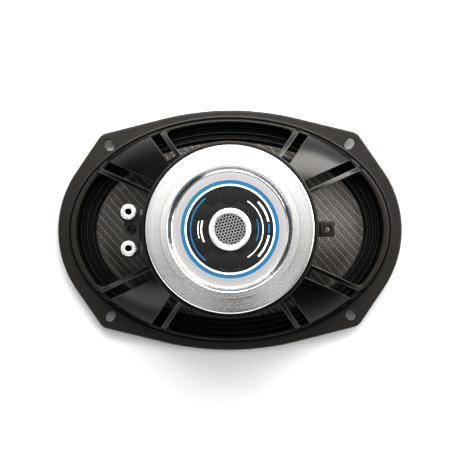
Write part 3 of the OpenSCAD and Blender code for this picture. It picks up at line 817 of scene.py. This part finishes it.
def carbon_twill(name, tow_mm, color_low, highlight_color, roughness):
    """Two by two twill of carbon tows under a clear resin coat."""
    p = Paint(name, color_low, roughness)
    x, y, _ = p.xyz()
    turn, fibres_per_tow = math.radians(-3), 7
    c, s = math.cos(turn) / tow_mm, math.sin(turn) / tow_mm
    u = p.math("ADD", p.math("MULTIPLY", x, c), p.math("MULTIPLY", y, s))
    v = p.math("SUBTRACT", p.math("MULTIPLY", y, c), p.math("MULTIPLY", x, s))
    cell_u, cell_v = p.math("FLOOR", u), p.math("FLOOR", v)
    phase = p.math("MODULO", p.math("ADD", p.math("ADD", cell_u, cell_v), 4000), 4)
    warp = p.math("LESS_THAN", phase, 1.5)
    weft = p.math("SUBTRACT", 1, warp)
    in_u, in_v = p.math("FRACT", u), p.math("FRACT", v)

    def float_height(across, along, first):
        """A tow's bulge over the two cells that it floats across."""
        side = p.math("SQRT", p.math("SINE", p.math("MULTIPLY", across, math.pi)))
        way = p.math("SUBTRACT", p.math("ADD", phase, along), first)
        rise = p.math("SINE", p.math("MULTIPLY", way, math.pi / 2), clamp=True)
        return p.math("MULTIPLY", side, rise)

    over_u = p.math("MULTIPLY", warp, float_height(in_u, in_v, 0))
    over_v = p.math("MULTIPLY", weft, float_height(in_v, in_u, 2))
    height = p.math("ADD", over_u, over_v)
    fibres_u = p.math("SINE", p.math("MULTIPLY", u, math.tau * fibres_per_tow))
    fibres_v = p.math("SINE", p.math("MULTIPLY", v, math.tau * fibres_per_tow))
    fibre = p.math("ADD", p.math("MULTIPLY", warp, fibres_u), p.math("MULTIPLY", weft, fibres_v))
    # painted highlight and shade: each float is coloured lighter over its bulge, the warp floats far more
    # than the weft, in place of the tows' sheen
    painted_tow_light = p.math("ADD", over_u, p.math("MULTIPLY", over_v, 0.4))
    painted_tow_light = p.math("ADD", painted_tow_light, p.math("MULTIPLY", fibre, 0.04))
    p.to("Base Color", p.ramp(painted_tow_light, color_low, highlight_color, 0.1, 0.9))
    p.to("Roughness", p.ramp(p.noise(4, 3), roughness - 0.05, roughness + 0.08, 0.3, 0.7))
    p.bump(height, 0.16)
    p.bump(fibre, 0.01)
    p.set("Coat Weight", 0.25)
    p.set("Coat Roughness", 0.3)
    p.set("Specular Tint", WARM_TINT)
    return p.mat


def turned_metal(name, color, roughness, groove_mm, depth, anisotropy=0.0, satin=0.0):
    """Metal turned on a lathe: fine rings about the motor's axis.

    Inside the satin radius, where one is given, it is smoother and shines alike in every direction."""
    p = Paint(name, color, roughness, 1.0)
    r, z = p.around()
    along = p.node("ShaderNodeCombineXYZ")
    p.link(p.math("MULTIPLY", r, MM), along.inputs["X"])
    p.link(p.math("MULTIPLY", z, MM), along.inputs["Y"])
    rings = p.noise(groove_mm, 2, along.outputs[0])
    rough = p.ramp(rings, roughness - 0.04, roughness + 0.08, 0.3, 0.7)
    p.to("Base Color", p.ramp(rings, tuple(c * 0.9 for c in color), color, 0.3, 0.7))
    p.bump(rings, depth)
    if satin:
        inside = p.ramp(r, 1.0, 0.0, satin - 0.4, satin + 0.1)
        rough = p.math("MULTIPLY", rough, p.ramp(inside, 1.0, 0.8))
        p.to("Anisotropic", p.ramp(inside, anisotropy, 0.0))
    if anisotropy:
        tangent = p.node("ShaderNodeTangent", direction_type="RADIAL", axis="Z")
        p.to("Tangent", tangent.outputs[0])
    p.to("Roughness", rough)
    return p.mat


def plain_metal(name, color, roughness, grain_mm=0.6, depth=0.01):
    """Plated or drawn metal with slight mottling."""
    p = Paint(name, color, roughness, 1.0)
    p.to("Base Color", p.ramp(p.noise(3, 3), tuple(c * 0.85 for c in color), color, 0.3, 0.7))
    p.to("Roughness", p.ramp(p.noise(grain_mm, 3), roughness - 0.05, roughness + 0.1, 0.3, 0.7))
    p.bump(p.noise(grain_mm, 2), depth)
    return p.mat


def moulded(name, color, roughness):
    """Moulded plastic with a fine spark-eroded grain."""
    p = Paint(name, color, roughness)
    p.to("Base Color", p.ramp(p.noise(5, 3), color, tuple(c * 1.3 for c in color), 0.3, 0.7))
    p.to("Roughness", p.ramp(p.noise(0.9, 3), roughness - 0.05, roughness + 0.08, 0.3, 0.7))
    p.bump(p.noise(0.25, 2), 0.02)
    return p.mat


def printed(name, color):
    """Printed ink under a clear film."""
    p = Paint(name, color, 0.3)
    p.to("Base Color", p.ramp(p.noise(7, 3), tuple(c * 0.92 for c in color), color, 0.3, 0.7))
    p.bump(p.noise(1.5, 2), 0.006)
    p.set("Coat Weight", 0.5)
    p.set("Coat Roughness", 0.12)
    return p.mat


def hexagon_print(name, size_mm):
    """Black film printed with large, faint hexagons, each shaded from one side to the other."""
    p = Paint(name, (0.01, 0.01, 0.011), 0.35)
    x, y, _ = p.xyz()
    step_y = size_mm * math.sqrt(3)

    def off_centre(value, step, shift):
        """How far value lies past the middle of its step."""
        place = p.math("MODULO", p.math("ADD", value, shift + 100 * step), step)
        return p.math("SUBTRACT", place, step / 2)

    def cell(shift_x, shift_y):
        """The height over a hexagon's centre and the distance out to its edges, on one of two lattices."""
        a, b = off_centre(x, size_mm, shift_x), off_centre(y, step_y, shift_y)
        side, height = p.math("ABSOLUTE", a), p.math("ABSOLUTE", b)
        half, tall = p.math("MULTIPLY", side, 0.5), p.math("MULTIPLY", height, math.sqrt(3) / 2)
        return b, p.math("MAXIMUM", side, p.math("ADD", half, tall))

    b0, far0 = cell(0, 0)
    b1, far1 = cell(size_mm / 2, step_y / 2)
    second = p.math("LESS_THAN", far1, far0)
    first = p.math("SUBTRACT", 1, second)
    far = p.math("MINIMUM", far0, far1)
    slope = p.math("ADD", p.math("MULTIPLY", second, b1), p.math("MULTIPLY", first, b0))
    tint = p.ramp(slope, (0.003, 0.003, 0.003), (0.018, 0.017, 0.016), -size_mm * 0.55, size_mm * 0.55)
    line = p.ramp(far, 0.0, 1.0, size_mm * 0.475, size_mm * 0.5)
    p.to("Base Color", p.blend(line, tint, (0.022, 0.021, 0.02)))
    p.bump(far, 0.02)
    p.set("Specular IOR Level", 0.35)
    return p.mat


def floor_material():
    """Pale paper with the faintest unevenness of tone."""
    p = Paint("floor_paper", (0.57, 0.57, 0.57), 0.8)
    p.to("Base Color", p.ramp(p.noise(40, 2), (0.565, 0.565, 0.565), (0.575, 0.575, 0.575), 0.3, 0.7))
    p.bump(p.noise(4, 2), 0.02)
    return p.mat


flange_coat = coated_metal("flange_coat", (0.0070, 0.0058, 0.0045), 0.45, 0.03, 0.42)
arm_coat = coated_metal("arm_coat", (0.0025, 0.0023, 0.0021), 0.24, 0.004, 0.25)
# a lighter, glossier copy of the arm coat for the rounded edges: a painted highlight along them
edge_highlight_coat = coated_metal("edge_highlight_coat", (0.018, 0.0165, 0.015), 0.35, 0.004, 0.6)
foam_mat = foam("gasket_foam")
surround_mat = rubber("surround_rubber", (0.006, 0.0057, 0.0054), 0.48)
spider_mat = coated_cloth("spider_cloth", (0.30, 0.18, 0.07), 0.5, 0.7)
# the second colour of each twill is the painted highlight on its warp floats
cone_mat = carbon_twill("cone_twill", 1.55, (0.002, 0.0018, 0.0016), (0.100, 0.088, 0.078), 0.45)
cap_mat = carbon_twill("cap_twill", 1.55, (0.003, 0.0027, 0.0024), (0.08, 0.074, 0.068), 0.35)
cup_mat = turned_metal("turned_aluminium", (0.66, 0.652, 0.64), 0.21, 0.9, 0.003, 0.65, 41.2)
collar_mat = turned_metal("collar_aluminium", (0.86, 0.86, 0.85), 0.32, 0.3, 0.001)
mesh_mat = plain_metal("mesh_steel", (0.42, 0.42, 0.41), 0.3)
# near-black steel: partly a blackened finish, partly painted shade so the bore seen through the vent mesh
# looks dark
yoke_steel_and_shade_mat = turned_metal("blackened_steel_and_shade", (0.035, 0.035, 0.037), 0.35, 0.4, 0.006)
magnet_mat = plain_metal("magnet_nickel", (0.62, 0.62, 0.63), 0.25)
copper_mat = plain_metal("copper", (0.72, 0.38, 0.24), 0.28)
coil_mat = turned_metal("coil_wire", (0.62, 0.28, 0.14), 0.32, 0.3, 0.05)
former_mat = moulded("former_film", (0.28, 0.14, 0.05), 0.3)
brass_mat = plain_metal("brass", (0.78, 0.58, 0.28), 0.26)
tin_mat = plain_metal("tinned_brass", (0.42, 0.40, 0.36), 0.38)
# posts coloured near black all over: painted shade standing in for the dark inside of their bores
post_bore_shade_mat = plain_metal("dark_post_bore_shade", (0.03, 0.03, 0.032), 0.3)
nickel_mat = plain_metal("nickel", (0.84, 0.83, 0.81), 0.24, 1.2, 0.001)
black_screw_mat = plain_metal("black_oxide", (0.035, 0.034, 0.033), 0.28)
spring_mat = plain_metal("spring_steel", (0.5, 0.5, 0.5), 0.3)
block_mat = moulded("block_nylon", (0.011, 0.0098, 0.0085), 0.5)
braid_mat = plain_metal("tinsel_braid", (0.72, 0.52, 0.36), 0.4, 0.35, 0.08)
label_mat = hexagon_print("label_film", 12.0)
blue_ink = printed("blue_ink", (0.0, 0.105, 0.22))
white_ink = printed("white_ink", (0.80, 0.80, 0.79))


# ---- Making the pieces ----

flange_and_wall(flange_coat)
arms(arm_coat, edge_highlight_coat)
hub(flange_coat)
tabs(flange_coat)
gasket(foam_mat)
surround(surround_mat)
cone(cone_mat)
dust_cap(cap_mat)
spider(spider_mat)
for name, side in (("pos", 1), ("neg", -1)):
    tinsel_lead(name, side, braid_mat)
    spring(name, side, spring_mat)
    knob(name, side, nickel_mat)

for name, r0, r1, start, end, ink in (
    ("ring_blue", 29.25, 31.75, 0, 360, blue_ink),
    ("ring_white", 28.1, 29.25, 0, 360, white_ink),
    ("arc_white_a", 24.6, 25.9, -44, -9, white_ink),
    ("arc_blue_a", 24.6, 25.9, -6, 8, blue_ink),
    ("arc_white_b", 24.6, 25.9, 11, 44, white_ink),
    ("arc_white_c", 21.0, 21.7, -58, 58, white_ink),
    ("arc_blue_b", 18.0, 18.9, -24, 20, blue_ink),
    ("arc_blue_c", 25.0, 26.0, 128, 232, blue_ink),
    ("arc_white_d", 20.4, 21.0, 165, 196, white_ink),
    ("arc_white_e", 18.0, 19.1, 162, 206, white_ink),
):
    label_ring(f"label_{name}", r0, r1, start, end, ink)

for node, material in {
    "coil_former": former_mat, "voice_coil": coil_mat, "lead_eyelets": brass_mat, "top_plate": yoke_steel_and_shade_mat,
    "magnet": magnet_mat, "pole_yoke": yoke_steel_and_shade_mat, "shorting_ring": copper_mat,
    "motor_screws": black_screw_mat, "back_cup": cup_mat, "motor_label": label_mat,
    "vent_collar": collar_mat, "vent_mesh": mesh_mat, "terminal_block": block_mat,
    "terminal_screw": black_screw_mat, "terminal_post_pos": post_bore_shade_mat, "terminal_post_neg": post_bore_shade_mat,
    "solder_tag_pos": tin_mat, "solder_tag_neg": tin_mat, "post_nut_pos": brass_mat,
    "post_nut_neg": brass_mat,
}.items():
    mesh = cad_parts[node].data
    mesh.materials.clear()
    mesh.materials.append(material)


# ---- Stage, lights and camera ----

def floor():
    """A large pale floor, with a well under the speaker that the cone can move into.

    The gasket hides the well's edge."""
    far, depth, middle, sides = 12000.0, 12.0, 5.0, 128
    well_a, well_b = OPEN_A + 2, OPEN_B + 2
    loops = []
    for a, b, z in ((far, far, 0), (well_a, well_b, 0), (well_a, well_b, -depth), (middle, middle, -depth)):
        loops.append([polar(oval_r(a, b, t), t, z) for t in full_turn(sides)])
    points, faces = wrap(loops, False)
    faces.pop(-2)  # the lid that wrap puts over the outer loop
    obj = piece("floor", points, faces, floor_material())


def softbox(name, azimuth, elevation, distance, width, height, radiance):
    """An area light aimed at the speaker's middle, in metres. Azimuth runs from +X towards +Y, in degrees."""
    target = Vector((0, 0, 0.03))
    a, e = math.radians(azimuth), math.radians(elevation)
    away = Vector((math.cos(a) * math.cos(e), math.sin(a) * math.cos(e), math.sin(e)))
    light = bpy.data.lights.new(name, "AREA")
    light.shape = "RECTANGLE"
    light.size, light.size_y = width, height
    light.energy = radiance * math.pi * width * height
    obj = bpy.data.objects.new(name, light)
    bpy.context.scene.collection.objects.link(obj)
    obj.location = target + away * distance
    obj.rotation_mode = "QUATERNION"
    obj.rotation_quaternion = (-away).to_track_quat("-Z", "Y")
    obj.visible_camera = False


def studio_world(dark, bright, band):
    """Soft light, brightest on the +Y side of the zenith, dark elsewhere, with a pale band at the horizon."""
    brightest_way = (0, 0.64, 0.77)
    world = bpy.data.worlds.new("studio")
    bpy.context.scene.world = world
    world.use_nodes = True
    tree = world.node_tree
    nodes, link = tree.nodes, tree.links.new
    way = nodes.new("ShaderNodeTexCoord").outputs["Generated"]

    def ranged(value, f0, f1, low, high):
        """Goes from low to high as value goes from f0 to f1."""
        made = nodes.new("ShaderNodeMapRange")
        link(value, made.inputs["Value"])
        for key, number in (("From Min", f0), ("From Max", f1), ("To Min", low), ("To Max", high)):
            made.inputs[key].default_value = number
        return made.outputs["Result"]

    lean = nodes.new("ShaderNodeVectorMath")
    lean.operation = "DOT_PRODUCT"
    lean.inputs[1].default_value = brightest_way
    link(way, lean.inputs[0])
    parts = nodes.new("ShaderNodeSeparateXYZ")
    link(way, parts.inputs[0])
    total = nodes.new("ShaderNodeMath")
    link(ranged(lean.outputs["Value"], 0.55, 1.0, dark, bright), total.inputs[0])
    link(ranged(parts.outputs["Z"], 0.12, 0.22, band, 0), total.inputs[1])
    background = nodes["Background"]
    link(total.outputs[0], background.inputs["Strength"])
    background.inputs["Color"].default_value = (1, 1, 1, 1)


def camera():
    """Above the speaker and looking down, a hair off its axis and turned by a hair."""
    view_w, distance, set_off, roll = 315.7 * MM, 1.15, -8 * MM, math.radians(-0.36)
    data = bpy.data.cameras.new("camera")
    data.sensor_width = 36
    data.lens = data.sensor_width * distance / view_w
    obj = bpy.data.objects.new("camera", data)
    bpy.context.scene.collection.objects.link(obj)
    target = Vector((0, 0, REAR_Z * MM))
    place = target + Vector((0, set_off, distance))
    obj.location = place
    aim = (target - place).to_track_quat("-Z", "Y").to_matrix().to_4x4()
    obj.rotation_euler = (aim @ Matrix.Rotation(roll, 4, "Z")).to_euler()
    bpy.context.scene.camera = obj


floor()
studio_world(0.08, 1.5, 0.4)
softbox("key", 91, 46, 0.5, 0.66, 0.16, 11.0)
softbox("side_right", 40, 10, 0.8, 0.7, 0.35, 11.5)
softbox("side_left", 222, 10, 0.8, 0.6, 0.3, 3.2)
softbox("front", 270, 30, 0.8, 0.7, 0.3, 2.5)
softbox("fill_right", 2, 42, 1.6, 0.8, 0.6, 6.0)
softbox("fill_left", 178, 42, 1.6, 0.6, 0.5, 2.6)
softbox("streak_a", 230, 70, 1.0, 0.02, 0.4, 2.0)
softbox("streak_b", 250, 70, 1.0, 0.03, 0.4, 1.6)
softbox("streak_c", 306, 70, 1.0, 0.04, 0.4, 2.0)
camera()
bpy.context.scene.view_settings.view_transform = "Standard"
bpy.context.scene.view_settings.look = "High Contrast"
